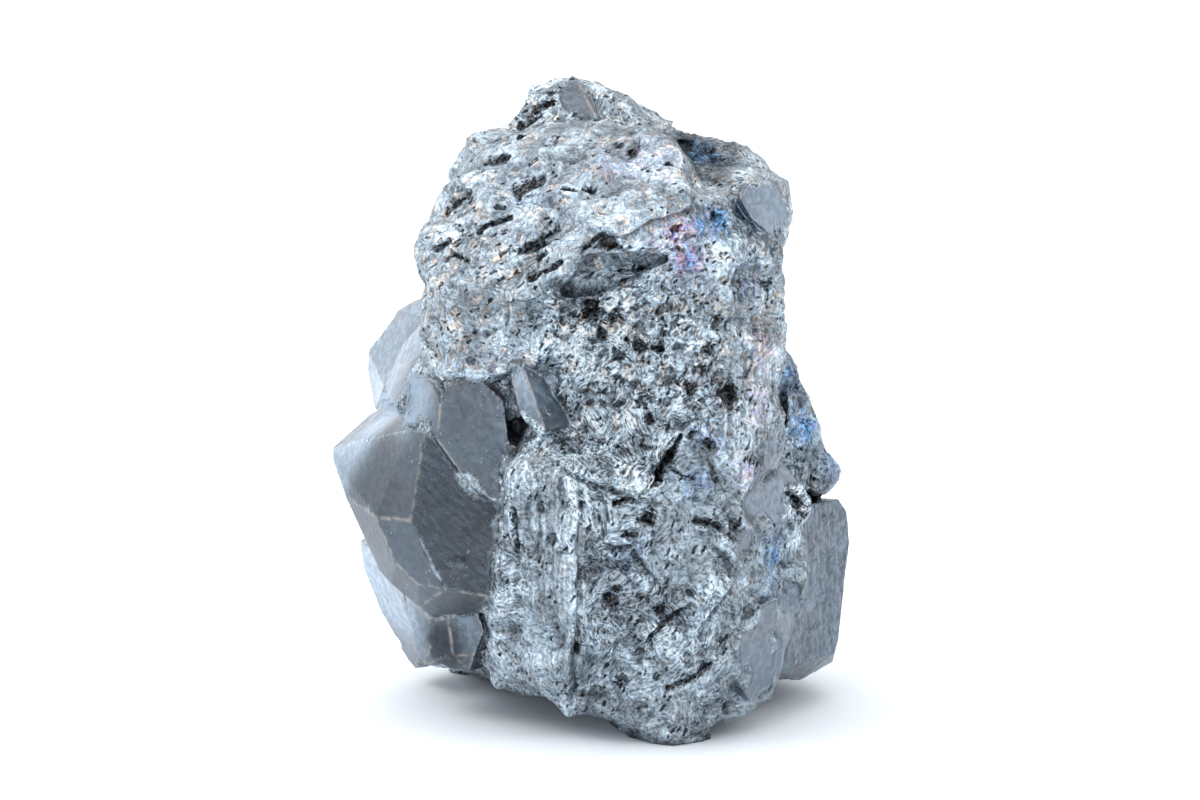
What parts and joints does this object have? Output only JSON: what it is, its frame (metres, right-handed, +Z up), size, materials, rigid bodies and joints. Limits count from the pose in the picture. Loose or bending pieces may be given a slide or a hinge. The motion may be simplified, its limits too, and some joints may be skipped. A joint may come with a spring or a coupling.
{
  "type": "bournonite specimen",
  "caption": "Broken lump of metallic grey bournonite with flat-faced crystals grown out of one side, standing on its ground base.",
  "frame": {"origin": "centre of the specimen's box, on the surface it stands on", "axes": "+Z up, -Y out of the broken front, +X to the front's right; the crystals are on -X"},
  "size_m": [0.0392, 0.0326, 0.048],
  "materials": {
    "bournonite": "bright metallic fracture, smooth duller crystal faces, with a thin blue and violet tarnish"
  },
  "bodies": {
    "root": {"bournonite": "bournonite"}
  },
  "joints": []
}
